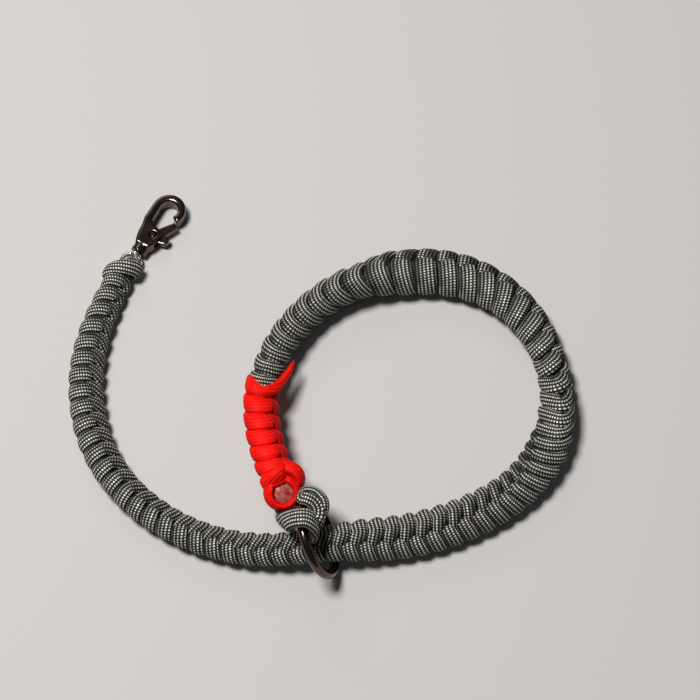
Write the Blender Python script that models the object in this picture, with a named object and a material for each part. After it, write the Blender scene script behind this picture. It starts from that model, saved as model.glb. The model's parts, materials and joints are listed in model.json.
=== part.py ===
"""Camera wrist strap of snake-knotted cord: a wrist loop that a sliding ring closes round its own run, and a swivel
lobster clasp. It lies at rest on a flat surface, +Z up, with the clasp's axis along +Y and the origin under the
middle of its box. Metres."""

import math

import bmesh
import bpy
import numpy as np
from mathutils import Matrix, Vector

MM = 0.001

# Strap: centreline length from the middle of the first knot to the red tip, and the knots along it
STRAP_LENGTH = 388 * MM
RED_LENGTH = 33 * MM
KNOT_PITCH = 4.6 * MM
STRAP_SIDE = 12.2 * MM
STRAP_SPINE = 9.3 * MM
RIB_DEPTH = 0.75 * MM
END_ROUNDING = 1.2 * MM
SECTION_SIDES = 14
CLEARANCE = 0.3 * MM

# Sliding ring, and the cord loop that ties the red tip to it
RING_OUTER = 23.4 * MM
RING_WIRE = 2.7 * MM
RING_SHARE = 0.353
RING_LEAN = math.radians(25)
RING_ACROSS = 0.6 * MM
RING_LIFT_REACH = 26 * MM
CORD = 3.6 * MM

# Red tip: raised to the ring, and closed by a curl of cord round a melted cord end
TIP_RISE = 7.5 * MM
TIP_RISE_SHARE = 0.17
CURL_RADIUS = 3.1 * MM
CURL_CORD = 3.8 * MM
CURL_TILT = math.radians(32)
MELT_HEIGHT = 2.6 * MM

# First knot, gripping the clasp's eye
KNOT_LENGTH = 5.4 * MM
KNOT_SIDE = 10.4 * MM
KNOT_SPINE = 8.2 * MM

# Swivel eye
EYE_REACH = 5.6 * MM
EYE_WIDTH = 5.4 * MM
EYE_WIRE = 1.6 * MM
EYE_COLLAR_RADIUS = 1.7 * MM
EYE_COLLAR_LENGTH = 1.0 * MM
POST_RADIUS = 1.0 * MM
RIVET_RADIUS = 1.6 * MM
RIVET_LENGTH = 0.8 * MM

# Lobster clasp
CLASP_LENGTH = 21.5 * MM
CLASP_THICKNESS = 5.0 * MM
BARREL_RADIUS = 2.45 * MM
BARREL_LENGTH = 3.0 * MM
BODY_HALF_WIDTH = 3.3 * MM
HOOK_OUTER = 5.1 * MM
HOOK_WALL = 2.3 * MM
HOOK_TIP = -30
CHEEK = 1.1 * MM
EDGE_ROUNDING = 0.55 * MM
PIVOT_RIGHT = 1.0 * MM
PIVOT_ALONG = 6.8 * MM
PIN_RADIUS = 0.8 * MM
LEVER_BOSS = 1.9 * MM
TIP_TRIM = 0.17 * MM
LEVER_WIDTH = 2.0 * MM
LEVER_LEAN = math.radians(20)
TAB_REACH = 5.9 * MM
TAB_WIDTH = 3.0 * MM

# The strap's route: share of its length, and the heading there in degrees from +X
ROUTE = (
    (0.00, -82),
    (0.05, -74),
    (0.10, -57),
    (0.15, -37),
    (0.20, -14),
    (0.25, 6),
    (0.30, 24),
    (0.35, 40),
    (0.40, 41),
    (0.45, 54),
    (0.50, 71),
    (0.55, 102),
    (0.60, 129),
    (0.65, 153),
    (0.70, 184),
    (0.75, 214),
    (0.80, 236),
    (0.85, 261),
    (0.90, 285),
    (0.95, 310),
    (1.00, 325),
)

# The strap's sections: share of its length, then its width over the side arcs, its depth over the two spines
# and its knot pitch as shares of the named sizes, and how far the first spine is turned up from the left
SECTIONS = (
    (0.00, 0.66, 0.68, 0.98, 40),
    (0.04, 0.73, 0.74, 0.98, 56),
    (0.08, 0.82, 0.82, 0.98, 70),
    (0.13, 0.85, 0.85, 0.98, 71),
    (0.21, 0.83, 0.84, 0.97, 65),
    (0.29, 0.83, 0.84, 0.97, 72),
    (0.35, 0.81, 0.84, 0.98, 84),
    (0.385, 0.96, 0.98, 1.00, 96),
    (0.43, 1.02, 1.00, 1.00, 97),
    (0.47, 1.00, 1.00, 1.00, 98),
    (0.51, 0.98, 1.00, 1.02, 84),
    (0.545, 1.00, 1.00, 1.04, 24),
    (0.57, 0.98, 0.98, 1.08, -12),
    (0.60, 0.92, 0.98, 1.18, -48),
    (0.64, 0.97, 1.00, 1.27, -68),
    (0.68, 1.06, 1.06, 1.30, -86),
    (0.73, 1.18, 1.12, 1.30, -97),
    (0.77, 1.18, 1.14, 1.25, -90),
    (0.80, 1.10, 1.10, 1.12, -74),
    (0.835, 1.00, 1.02, 1.07, -66),
    (0.87, 0.95, 0.97, 1.04, -28),
    (0.91, 0.88, 0.90, 0.94, -10),
)
RED_SECTIONS = (
    (0.91, 0.86, 0.94, 0.98, 62),
    (0.95, 0.88, 0.94, 0.98, 72),
    (1.00, 0.84, 0.90, 0.96, 84),
)

# Route of the cord loop round the ring's wire: along the ring's own axis, across it and up in its plane,
# as shares of the ring's radius
ANCHOR_ROUTE = (
    (-1.02, 1.08, -0.06),
    (-0.94, 0.84, 0.02),
    (-0.83, 0.60, 0.30),
    (-0.60, 0.42, 0.71),
    (-0.34, 0.27, 1.10),
    (0.00, 0.14, 1.35),
    (0.29, 0.06, 1.31),
    (0.42, -0.02, 1.08),
    (0.40, -0.08, 0.80),
    (0.22, -0.08, 0.60),
    (0.02, 0.06, 0.50),
    (-0.16, 0.28, 0.44),
    (-0.26, 0.54, 0.30),
    (-0.31, 0.80, 0.08),
    (-0.36, 1.06, -0.16),
    (-0.34, 1.34, -0.20),
    (-0.20, 1.52, -0.02),
    (-0.02, 1.53, 0.20),
    (0.20, 1.40, 0.38),
    (0.42, 1.22, 0.48),
    (0.57, 0.98, 0.52),
    (0.61, 0.74, 0.52),
    (0.54, 0.54, 0.52),
    (0.42, 0.40, 0.48),
    (0.30, 0.32, 0.42),
)

ROUTE_STEPS = 1600
RING_RADIUS = (RING_OUTER - RING_WIRE) / 2


def material(name, colour, roughness, metallic):
    made = bpy.data.materials.new(name)
    made.use_nodes = True
    shader = made.node_tree.nodes["Principled BSDF"]
    shader.inputs["Base Color"].default_value = (*colour, 1.0)
    shader.inputs["Roughness"].default_value = roughness
    shader.inputs["Metallic"].default_value = metallic
    return made


def placed(name, mesh, finish, smooth=40):
    """An object of this mesh, round where its faces turn by less than the smooth angle."""
    mesh.shade_smooth()
    mesh.set_sharp_from_angle(angle=math.radians(smooth))
    mesh.materials.append(finish)
    obj = bpy.data.objects.new(name, mesh)
    bpy.context.scene.collection.objects.link(obj)
    return obj


def mesh_from(bm, name):
    bmesh.ops.recalc_face_normals(bm, faces=bm.faces[:])
    mesh = bpy.data.meshes.new(name)
    bm.to_mesh(mesh)
    bm.free()
    return mesh


def column(table, index, share):
    """One column of a table at a share of the length, on a smooth curve through its rows."""
    at = np.array([row[0] for row in table])
    value = np.array([row[index] for row in table], float)
    slope = np.gradient(value, at)
    share = np.clip(share, at[0], at[-1])
    i = np.clip(np.searchsorted(at, share) - 1, 0, len(at) - 2)
    step = at[i + 1] - at[i]
    t = (share - at[i]) / step
    start = value[i] * (1 + 2 * t) * (1 - t) ** 2 + slope[i] * step * t * (1 - t) ** 2
    end = value[i + 1] * t**2 * (3 - 2 * t) + slope[i + 1] * step * t**2 * (t - 1)
    return start + end


def smooth_step(t):
    t = np.clip(t, 0, 1)
    return t * t * (3 - 2 * t)


def strap_sizes(share, table):
    """Half side, half spine and the first spine's angle at a share of the length."""
    half_side = column(table, 1, share) * STRAP_SIDE / 2
    half_spine = column(table, 2, share) * STRAP_SPINE / 2
    return half_side, half_spine, np.radians(column(table, 4, share))


def strap_route():
    """The strap's centreline from the first knot, each point as high as its section needs to lie on the floor,
    lifted over the ring's wire and towards the ring at the red tip."""
    share = np.linspace(0, 1, ROUTE_STEPS + 1)
    heading = np.radians(column(ROUTE, 1, share))
    step = STRAP_LENGTH / ROUTE_STEPS
    middle = (heading[1:] + heading[:-1]) / 2
    x = np.concatenate([[0], np.cumsum(np.cos(middle) * step)])
    y = np.concatenate([[0], np.cumsum(np.sin(middle) * step)])
    half_side, half_spine, turn = strap_sizes(share, SECTIONS)
    resting = np.hypot(half_spine * np.sin(turn), half_side * np.cos(turn))
    from_ring = np.abs(share - RING_SHARE) * STRAP_LENGTH / RING_LIFT_REACH
    lift = (RING_WIRE + CLEARANCE) * (1 - smooth_step(from_ring))
    rise = TIP_RISE * smooth_step((share - 1 + TIP_RISE_SHARE) / TIP_RISE_SHARE)
    return share, np.stack([x, y, resting + lift + rise], 1)


SHARES, CENTRELINE = strap_route()


def station(share):
    """The centreline's point at a share, with its direction, its left and its up."""
    at = Vector([float(np.interp(share, SHARES, CENTRELINE[:, k])) for k in range(3)])
    heading = math.radians(float(column(ROUTE, 1, share)))
    left = Vector((-math.sin(heading), math.cos(heading), 0))
    near = 1 / ROUTE_STEPS
    climb = np.interp(share + near, SHARES, CENTRELINE[:, 2]) - np.interp(share - near, SHARES, CENTRELINE[:, 2])
    forward = Vector((math.cos(heading), math.sin(heading), float(climb) / (2 * near * STRAP_LENGTH))).normalized()
    return at, forward, left, forward.cross(left)


def knot_shares(start, end, table):
    """Shares of the half pitches between two places, as the pitch column spaces them."""
    shares = [start]
    while shares[-1] < end:
        pitch = KNOT_PITCH * float(column(table, 3, shares[-1]))
        shares.append(shares[-1] + pitch / 2 / STRAP_LENGTH)
    spread = (end - start) / (shares[-1] - start)
    return [start + (share - start) * spread for share in shares]


def section_ring(share, table, shrink, crest_right):
    """Points of one section: the arcs of one side at their crest, those of the other in the dip between two."""
    at, _, left, up = station(share)
    half_side, half_spine, turn = strap_sizes(share, table)
    spine = left * math.cos(turn) + up * math.sin(turn)
    side = left * -math.sin(turn) + up * math.cos(turn)
    points = []
    for k in range(SECTION_SIDES):
        angle = 2 * math.pi * k / SECTION_SIDES
        across, along = math.cos(angle), math.sin(angle)
        dip = RIB_DEPTH * max(0.0, -across if crest_right else across)
        points.append(at + (side * across * (half_side - dip) + spine * along * half_spine) * shrink)
    return points


def loft(name, rings, finish):
    """A closed tube through rings of points."""
    bm = bmesh.new()
    loops = []
    for ring in rings:
        circle = bmesh.ops.create_circle(bm, segments=len(ring), radius=1)["verts"]
        for vert, point in zip(circle, ring):
            vert.co = point
        loops.append([vert.link_edges[0] for vert in circle] + [vert.link_edges[1] for vert in circle])
    loops = [list(dict.fromkeys(edges)) for edges in loops]
    for near, far in zip(loops, loops[1:]):
        bmesh.ops.bridge_loops(bm, edges=near + far)
    for edges in (loops[0], loops[-1]):
        bmesh.ops.edgeloop_fill(bm, edges=edges)
    return placed(name, mesh_from(bm, name), finish)


def woven(name, start, end, table, finish):
    """One knotted stretch, ribbed half a pitch apart on its two sides, with rounded ends."""
    shares = knot_shares(start, end, table)
    rounding = END_ROUNDING / STRAP_LENGTH
    rings = [section_ring(start, table, 0.72, True)]
    for k, share in enumerate(shares[1:-1]):
        rings.append(section_ring(share, table, 1.0, k % 2 == 0))
    rings.insert(1, section_ring(start + rounding, table, 0.98, True))
    rings.append(section_ring(end - rounding, table, 0.98, True))
    rings.append(section_ring(end, table, 0.72, True))
    return loft(name, rings, finish)


def smooth_points(points, count):
    """Points on one smooth curve through the route's own points."""
    table = [(k, *point) for k, point in enumerate(points)]
    at = np.linspace(0, len(points) - 1, count)
    return np.stack([column(table, axis, at) for axis in (1, 2, 3)], 1)


def cord(name, points, diameter, finish, cyclic=False):
    """A cord of round section along these points, its ends capped."""
    curve = bpy.data.curves.new(name, "CURVE")
    curve.dimensions = "3D"
    curve.bevel_depth = diameter / 2
    curve.bevel_resolution = 2
    curve.use_fill_caps = not cyclic
    spline = curve.splines.new("POLY")
    spline.points.add(len(points) - 1)
    for made, point in zip(spline.points, points):
        made.co = (*point, 1.0)
    spline.use_cyclic_u = cyclic
    curve.materials.append(finish)
    obj = bpy.data.objects.new(name, curve)
    bpy.context.scene.collection.objects.link(obj)
    return obj


def cord_solid(name, points, diameter, finish):
    """A closed loop of wire as a mesh, which a Boolean can take."""
    curve = cord(name, points, diameter, finish, cyclic=True)
    bpy.context.view_layer.update()
    mesh = bpy.data.meshes.new_from_object(curve.evaluated_get(bpy.context.evaluated_depsgraph_get()))
    bpy.data.objects.remove(curve)
    bm = bmesh.new()
    bm.from_mesh(mesh)
    return placed(name, mesh_from(bm, name), finish)


def torus_mesh(name, radius, wire, around, section):
    """A ring of round wire about +Z: a circle spun about the axis."""
    bm = bmesh.new()
    made = bmesh.ops.create_circle(bm, segments=section, radius=wire / 2, matrix=Matrix.Rotation(math.pi / 2, 4, "X"))
    bmesh.ops.translate(bm, verts=made["verts"], vec=(radius, 0, 0))
    bmesh.ops.spin(
        bm, geom=bm.edges[:], axis=(0, 0, 1), cent=(0, 0, 0), angle=2 * math.pi, steps=around, use_merge=True
    )
    return mesh_from(bm, name)


def rod(name, radius, start, end, finish, sides=24):
    """A round rod between two points."""
    start, end = Vector(start), Vector(end)
    bm = bmesh.new()
    bmesh.ops.create_cone(
        bm, cap_ends=True, segments=sides, radius1=radius, radius2=radius, depth=(end - start).length
    )
    turn = (end - start).to_track_quat("Z", "Y").to_matrix().to_4x4()
    bmesh.ops.transform(bm, verts=bm.verts[:], matrix=Matrix.Translation((start + end) / 2) @ turn)
    return placed(name, mesh_from(bm, name), finish)


def plate(name, outline, thickness, rounding, finish):
    """A flat piece of this outline, in the clasp's plane, with its long edges rounded."""
    bm = bmesh.new()
    verts = [bm.verts.new((x, y, -thickness / 2)) for x, y in outline]
    face = bm.faces.new(verts)
    raised = bmesh.ops.extrude_face_region(bm, geom=[face])["geom"]
    top = [v for v in raised if isinstance(v, bmesh.types.BMVert)]
    bmesh.ops.translate(bm, verts=top, vec=(0, 0, thickness))
    if rounding:
        rims = [e for e in bm.edges if abs(e.verts[0].co.z - e.verts[1].co.z) < thickness / 2]
        bmesh.ops.bevel(bm, geom=rims, offset=rounding, segments=2, profile=0.5, affect="EDGES", material=-1)
    return placed(name, mesh_from(bm, name), finish)


def arc(centre, radius, start, end, count):
    """Points on an arc, its angles in degrees from +X."""
    angles = [math.radians(start + (end - start) * k / (count - 1)) for k in range(count)]
    return [(centre[0] + radius * math.cos(a), centre[1] + radius * math.sin(a)) for a in angles]


def combine(target, other, operation):
    """A Boolean of one object with another, which is kept only as a hidden guide."""
    cut = target.modifiers.new(operation.lower(), "BOOLEAN")
    cut.operation = operation
    cut.solver = "EXACT"
    cut.object = other
    other.hide_render = True
    other.display_type = "WIRE"


def ring_frame():
    """Where the ring stands: round the strap, on the floor, its top leaning back along the strap."""
    at, _, left, _ = station(RING_SHARE)
    heading = math.radians(float(column(ROUTE, 1, RING_SHARE)))
    level = Vector((math.cos(heading), math.sin(heading), 0))
    up = Vector((0, 0, 1)) * math.cos(RING_LEAN) - level * math.sin(RING_LEAN)
    axis = level * math.cos(RING_LEAN) + Vector((0, 0, 1)) * math.sin(RING_LEAN)
    height = RING_RADIUS * math.cos(RING_LEAN) + RING_WIRE / 2
    centre = Vector((at.x, at.y, height)) + left * RING_ACROSS
    return centre, axis, left, up


def slider_ring(finish):
    centre, axis, across, up = ring_frame()
    obj = placed("slider_ring", torus_mesh("slider_ring", RING_RADIUS, RING_WIRE, 36, 10), finish)
    turn = Matrix((across, up, axis)).transposed().to_4x4()
    obj.data.transform(Matrix.Translation(centre) @ turn)
    return obj


def anchor_loop(finish):
    centre, axis, across, up = ring_frame()
    points = [
        centre + (axis * along + across * side + up * high) * RING_RADIUS for along, side, high in ANCHOR_ROUTE
    ]
    return cord("anchor_loop", smooth_points(points, 46), CORD, finish)


def tip_frame():
    """Middle and facing of the curl that closes the red tip."""
    at, forward, left, _ = station(1.0)
    level = Vector((forward.x, forward.y, 0)).normalized()
    facing = Vector((0, 0, 1)) * math.cos(CURL_TILT) + level * math.sin(CURL_TILT)
    inner = CURL_RADIUS + CURL_CORD / 2 + CLEARANCE
    return at + forward * inner, facing, left


def red_end_curl(finish):
    centre, facing, across = tip_frame()
    obj = placed("red_end_curl", torus_mesh("red_end_curl", CURL_RADIUS, CURL_CORD, 20, 10), finish)
    turn = Matrix((across, facing.cross(across), facing)).transposed().to_4x4()
    obj.data.transform(Matrix.Translation(centre) @ turn)
    return obj


def melted_end(finish):
    centre, facing, _ = tip_frame()
    radius = CURL_RADIUS - CURL_CORD / 2 - CLEARANCE
    half = facing * MELT_HEIGHT / 2
    return rod("melted_end", radius, centre - half, centre + half, finish, sides=12)


def eye_outline(joint):
    """The eye's closed wire: a bar held in the first knot, two legs, and shoulders under the collar."""
    half = EYE_WIDTH / 2
    shoulder = -CLEARANCE - EYE_COLLAR_LENGTH - EYE_WIRE / 2
    corner = half * 0.55
    flat = arc((-half + corner, -EYE_REACH + corner), corner, 180, 270, 4)
    flat += arc((half - corner, -EYE_REACH + corner), corner, 270, 360, 4)
    flat += arc((0, shoulder - half * 0.55), half, 12, 168, 8)
    return [joint + Vector((x, y, 0)) for x, y in flat]


def first_knot(joint, finish):
    """A thick wrap across the strap's start, hollowed round the eye's bar and legs."""
    _, forward, left, _ = station(0)
    forward = Vector((forward.x, forward.y, 0)).normalized()
    middle = Vector((joint.x, joint.y - EYE_REACH, KNOT_SPINE / 2))
    rings = []
    for along, size in ((-0.5, 0.62), (-0.36, 0.9), (0, 1.0), (0.36, 0.9), (0.5, 0.62)):
        ring = []
        for k in range(20):
            angle = 2 * math.pi * k / 20
            side = left * math.cos(angle) * KNOT_SIDE / 2
            high = Vector((0, 0, 1)) * math.sin(angle) * KNOT_SPINE / 2
            ring.append(middle + (side + high) * size + forward * along * KNOT_LENGTH)
        rings.append(ring)
    knot = loft("start_knot", rings, finish)
    pocket = cord_solid("eye_pocket", eye_outline(joint), EYE_WIRE + 2 * CLEARANCE, finish)
    combine(knot, pocket, "DIFFERENCE")
    return knot


def swivel_eye(joint, finish):
    """Collar, post and rivet head on the clasp's axis, joined to the closed wire of the eye."""
    under = joint + Vector((0, -CLEARANCE - EYE_COLLAR_LENGTH, 0))
    collar = rod("swivel_eye", EYE_COLLAR_RADIUS, under, joint + Vector((0, -CLEARANCE, 0)), finish)
    head_start = BARREL_LENGTH + CLEARANCE
    head_end = head_start + RIVET_LENGTH
    post = rod(
        "eye_post",
        POST_RADIUS,
        joint + Vector((0, -CLEARANCE - EYE_COLLAR_LENGTH / 2, 0)),
        joint + Vector((0, head_start + RIVET_LENGTH / 2, 0)),
        finish,
    )
    head = rod(
        "eye_rivet", RIVET_RADIUS, joint + Vector((0, head_start, 0)), joint + Vector((0, head_end, 0)), finish
    )
    wire = cord_solid("eye_wire", eye_outline(joint), EYE_WIRE, finish)
    for piece in (post, head, wire):
        combine(collar, piece, "UNION")
    return collar


def lever_reach():
    """From the pin to the gate's end, which stops just short of the hook's trimmed tip."""
    tip = arc((0, CLASP_LENGTH - HOOK_OUTER), HOOK_OUTER, HOOK_TIP, 90, 2)[0]
    return math.dist(tip, (PIVOT_RIGHT, PIVOT_ALONG)) + TIP_TRIM - CLEARANCE


def claw_outline():
    """The clasp seen from above: barrel shoulders, body, the arm on the left and the hook over the top."""
    hook = (0.0, CLASP_LENGTH - HOOK_OUTER)
    inner = HOOK_OUTER - HOOK_WALL
    body_end = PIVOT_ALONG + LEVER_BOSS
    outline = [
        (BARREL_RADIUS * 0.9, BARREL_LENGTH * 0.7),
        (BODY_HALF_WIDTH * 0.94, BARREL_LENGTH * 1.4),
        (BODY_HALF_WIDTH, PIVOT_ALONG * 0.8),
        (BODY_HALF_WIDTH * 0.92, body_end * 0.94),
        (BODY_HALF_WIDTH * 0.55, body_end * 1.06),
        (-inner * 0.2, body_end * 1.13),
        (-inner * 0.78, body_end * 1.26),
    ]
    outline += arc(hook, inner, 180, HOOK_TIP, 15)
    outline += arc(hook, HOOK_OUTER, HOOK_TIP, 180, 19)
    outline += [
        (-HOOK_OUTER * 0.93, body_end * 1.22),
        (-HOOK_OUTER * 0.78, body_end * 0.95),
        (-BODY_HALF_WIDTH * 1.1, PIVOT_ALONG * 0.9),
        (-BODY_HALF_WIDTH * 0.94, BARREL_LENGTH * 1.4),
        (-BARREL_RADIUS * 0.9, BARREL_LENGTH * 0.7),
    ]
    return outline


def clasp_hook(joint, finish):
    """Claw and barrel in one, bored for the swivel's post, slotted for the lever and drilled for its pin."""
    claw = plate("clasp_hook", claw_outline(), CLASP_THICKNESS, EDGE_ROUNDING, finish)
    barrel = rod("claw_barrel", BARREL_RADIUS, (0, 0, 0), (0, BARREL_LENGTH + RIVET_LENGTH, 0), finish)
    combine(claw, barrel, "UNION")
    slot_start = BARREL_LENGTH + 2 * CLEARANCE + RIVET_LENGTH
    slot_end = PIVOT_ALONG + LEVER_BOSS * 2.6
    slot_left = PIVOT_RIGHT - LEVER_BOSS - 2 * CLEARANCE
    slot_right = HOOK_OUTER * 2
    slot_outline = [(slot_left, slot_start), (slot_right, slot_start), (slot_right, slot_end), (slot_left, slot_end)]
    bore = rod("swivel_bore", POST_RADIUS + CLEARANCE, (0, -BARREL_LENGTH, 0), (0, slot_start, 0), finish)
    pocket = rod("rivet_pocket", RIVET_RADIUS + CLEARANCE, (0, BARREL_LENGTH, 0), (0, slot_start + CHEEK, 0), finish)
    slot = plate("lever_slot", slot_outline, CLASP_THICKNESS - 2 * CHEEK, 0, finish)
    pivot = Vector((PIVOT_RIGHT, PIVOT_ALONG, 0))
    through = Vector((0, 0, CLASP_THICKNESS))
    drill = rod("pin_hole", PIN_RADIUS + CLEARANCE, pivot - through, pivot + through, finish)
    swept = lever_reach() + CLEARANCE
    sweep_outline = arc(pivot, swept, 30, 84, 12) + arc(pivot, swept * 0.8, 84, 30, 6)
    sweep = plate("tip_sweep", sweep_outline, 2 * CLASP_THICKNESS, 0, finish)
    cutters = (bore, pocket, slot, drill, sweep)
    for cutter in cutters:
        combine(claw, cutter, "DIFFERENCE")
    for piece in (claw, barrel, *cutters):
        piece.location = joint
    return claw


def lever_outline():
    """The gate about its pin, seen from above: a boss, a bar up to the hook's tip, and a thumb tab."""
    up = Vector((math.sin(LEVER_LEAN), math.cos(LEVER_LEAN)))
    right = Vector((up.y, -up.x))
    upright = 90 - math.degrees(LEVER_LEAN)
    length = lever_reach()
    inner = upright - math.degrees(math.asin((LEVER_BOSS - LEVER_WIDTH) / length))
    outer = upright - math.degrees(math.asin(LEVER_BOSS / length))
    tip = arc((0, 0), length, inner, outer, 5)
    reach = TAB_REACH - PIVOT_RIGHT
    tab_low = -TAB_WIDTH * 0.25
    tab = [
        tuple(right * LEVER_BOSS + up * TAB_WIDTH * 0.9),
        (reach * 0.74, tab_low + TAB_WIDTH),
        (reach * 0.93, tab_low + TAB_WIDTH * 0.86),
        (reach, tab_low + TAB_WIDTH * 0.52),
        (reach * 0.91, tab_low + TAB_WIDTH * 0.14),
        (reach * 0.72, tab_low),
    ]
    boss = arc((0, 0), LEVER_BOSS, -42, -196, 12)
    return tip + tab + boss


def clasp_lever(joint, finish):
    width = CLASP_THICKNESS - 2 * CHEEK - 2 * CLEARANCE
    lever = plate("clasp_lever", lever_outline(), width, EDGE_ROUNDING / 2, finish)
    through = Vector((0, 0, CLASP_THICKNESS))
    drill = rod("lever_hole", PIN_RADIUS + CLEARANCE, -through, through, finish)
    combine(lever, drill, "DIFFERENCE")
    for piece in (lever, drill):
        piece.location = joint + Vector((PIVOT_RIGHT, PIVOT_ALONG, 0))
    return lever


def lever_pin(joint, finish):
    half = Vector((0, 0, CLASP_THICKNESS / 2))
    pin = rod("lever_pin", PIN_RADIUS, -half, half, finish, sides=16)
    pin.location = joint + Vector((PIVOT_RIGHT, PIVOT_ALONG, 0))
    return pin


def centre_on_origin():
    """Moves the whole strap so that the middle of its box stands over the origin."""
    graph = bpy.context.evaluated_depsgraph_get()
    points = []
    for obj in bpy.context.scene.objects:
        if not obj.hide_render:
            solid = obj.evaluated_get(graph)
            points += [solid.matrix_world @ vert.co for vert in solid.to_mesh().vertices]
            solid.to_mesh_clear()
    low = Vector([min(p[k] for p in points) for k in range(3)])
    high = Vector([max(p[k] for p in points) for k in range(3)])
    shift = Vector((-(low.x + high.x) / 2, -(low.y + high.y) / 2, 0))
    for obj in bpy.context.scene.objects:
        obj.location += shift


def main():
    for obj in list(bpy.data.objects):
        bpy.data.objects.remove(obj)
    grey = material("grey_cord", (0.16, 0.17, 0.15), 0.85, 0.0)
    red = material("red_cord", (0.80, 0.03, 0.01), 0.75, 0.0)
    melt = material("melted_cord", (0.55, 0.22, 0.20), 0.45, 0.0)
    gunmetal = material("gunmetal", (0.10, 0.09, 0.09), 0.22, 1.0)
    steel = material("steel", (0.75, 0.74, 0.72), 0.2, 1.0)

    joint = Vector((CENTRELINE[0][0], CENTRELINE[0][1] + EYE_REACH, CLASP_THICKNESS / 2))
    grey_start = (KNOT_LENGTH / 2 + CLEARANCE) / STRAP_LENGTH
    grey_end = 1 - RED_LENGTH / STRAP_LENGTH
    woven("strap_weave", grey_start, grey_end, SECTIONS, grey)
    woven("red_weave", grey_end + CLEARANCE / STRAP_LENGTH, 1.0, RED_SECTIONS, red)
    red_end_curl(red)
    melted_end(melt)
    slider_ring(gunmetal)
    anchor_loop(grey)
    first_knot(joint, grey)
    swivel_eye(joint, steel)
    clasp_hook(joint, gunmetal)
    clasp_lever(joint, gunmetal)
    lever_pin(joint, gunmetal)
    bpy.context.view_layer.update()
    centre_on_origin()


main()
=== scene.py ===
"""Camera wrist strap: the looks of its knotted cords, its sliding ring and its clasp."""

import json
import math
from functools import partial

import bmesh
import bpy
import numpy as np
from mathutils import Matrix, Vector


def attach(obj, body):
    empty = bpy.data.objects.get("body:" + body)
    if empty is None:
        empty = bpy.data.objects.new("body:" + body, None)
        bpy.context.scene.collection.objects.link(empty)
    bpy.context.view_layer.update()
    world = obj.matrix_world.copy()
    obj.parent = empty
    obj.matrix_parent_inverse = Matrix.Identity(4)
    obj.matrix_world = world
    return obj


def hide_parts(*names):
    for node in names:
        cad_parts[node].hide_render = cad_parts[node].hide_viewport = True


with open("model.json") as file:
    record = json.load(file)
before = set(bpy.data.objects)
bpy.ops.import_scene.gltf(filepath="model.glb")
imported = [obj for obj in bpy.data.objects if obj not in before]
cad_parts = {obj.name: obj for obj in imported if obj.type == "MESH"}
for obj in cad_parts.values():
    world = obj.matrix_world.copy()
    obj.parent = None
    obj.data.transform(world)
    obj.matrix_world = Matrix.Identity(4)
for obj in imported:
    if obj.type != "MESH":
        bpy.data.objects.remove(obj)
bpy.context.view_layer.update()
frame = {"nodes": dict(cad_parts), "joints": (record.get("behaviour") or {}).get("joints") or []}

MM = 0.001
UP = np.array([0.0, 0.0, 1.0])

# The strap as its solids have it
STRAP_LENGTH = 388 * MM
RED_LENGTH = 33 * MM
KNOT_PITCH = 4.6 * MM
STRAP_SIDE = 12.2 * MM
STRAP_SPINE = 9.3 * MM
CLEARANCE = 0.3 * MM
RING_OUTER = 23.4 * MM
RING_WIRE = 2.7 * MM
RING_SHARE = 0.353
RING_LEAN = math.radians(25)
RING_ACROSS = 0.6 * MM
RING_LIFT_REACH = 26 * MM
TIP_RISE = 7.5 * MM
TIP_RISE_SHARE = 0.17
CURL_RADIUS = 3.1 * MM
CURL_CORD = 3.8 * MM
CURL_TILT = math.radians(32)
KNOT_LENGTH = 5.4 * MM
KNOT_SIDE = 10.4 * MM
KNOT_SPINE = 8.2 * MM
EYE_REACH = 5.6 * MM
ROUTE_STEPS = 1600

# Share of the strap's length, and the heading there in degrees
ROUTE = (
    (0.00, -82),
    (0.05, -74),
    (0.10, -57),
    (0.15, -37),
    (0.20, -14),
    (0.25, 6),
    (0.30, 24),
    (0.35, 40),
    (0.40, 41),
    (0.45, 54),
    (0.50, 71),
    (0.55, 102),
    (0.60, 129),
    (0.65, 153),
    (0.70, 184),
    (0.75, 214),
    (0.80, 236),
    (0.85, 261),
    (0.90, 285),
    (0.95, 310),
    (1.00, 325),
)

# Share of the length; width, depth and knot pitch there as shares of their sizes; and how far the first spine
# is turned up from the strap's left, in degrees
GREY_SECTIONS = (
    (0.00, 0.66, 0.68, 1.14, 40),
    (0.04, 0.73, 0.74, 1.14, 56),
    (0.08, 0.82, 0.82, 1.13, 70),
    (0.13, 0.85, 0.85, 1.08, 71),
    (0.21, 0.83, 0.84, 1.05, 65),
    (0.29, 0.83, 0.84, 1.04, 72),
    (0.35, 0.81, 0.84, 1.03, 84),
    (0.385, 0.96, 0.98, 1.03, 96),
    (0.43, 1.02, 1.00, 1.02, 97),
    (0.47, 1.00, 1.00, 1.01, 98),
    (0.51, 0.98, 1.00, 1.00, 88),
    (0.545, 1.00, 1.00, 1.00, 66),
    (0.57, 0.98, 0.98, 1.07, 38),
    (0.60, 0.92, 0.98, 1.25, -6),
    (0.64, 0.97, 1.00, 1.32, -54),
    (0.68, 1.06, 1.06, 1.31, -74),
    (0.73, 1.18, 1.12, 1.33, -88),
    (0.77, 1.18, 1.14, 1.32, -78),
    (0.80, 1.10, 1.10, 1.30, -34),
    (0.835, 1.00, 1.02, 1.30, -14),
    (0.87, 0.95, 0.97, 1.27, -8),
    (0.91, 0.88, 0.90, 1.20, -4),
)
RED_SECTIONS = (
    (0.91, 0.86, 0.94, 1.33, 50),
    (0.95, 0.88, 0.94, 1.20, 58),
    (1.00, 0.84, 0.90, 0.92, 70),
)

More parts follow.
